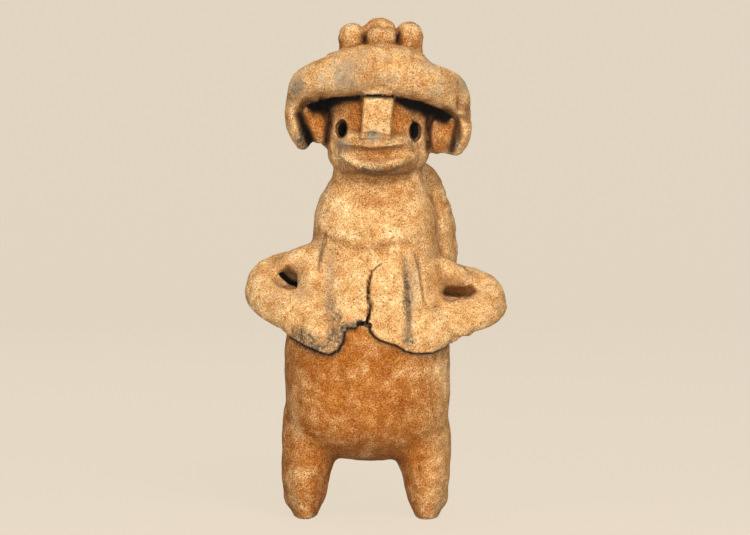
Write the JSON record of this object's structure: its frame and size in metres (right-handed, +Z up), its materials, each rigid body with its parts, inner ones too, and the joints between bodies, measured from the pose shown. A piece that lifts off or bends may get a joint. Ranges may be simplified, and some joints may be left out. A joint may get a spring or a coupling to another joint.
{
  "type": "terracotta standing figure",
  "caption": "Hand-built terracotta figure on two stump legs, hands laid on a barrel belly, with a heavy roll over the brow and knobs on top.",
  "frame": {"origin": "on the ground, under the middle of the figure's bounding box", "axes": "+Z up from the soles to the knobs, the figure faces -Y, +X is the viewer's right"},
  "size_m": [0.1098, 0.0708, 0.21],
  "materials": {
    "terracotta": "low-fired sandy clay, matt and slightly rough, with worn orange patches, soot and fine pits"
  },
  "bodies": {
    "root": {"terracotta_figure": "terracotta"}
  },
  "joints": []
}
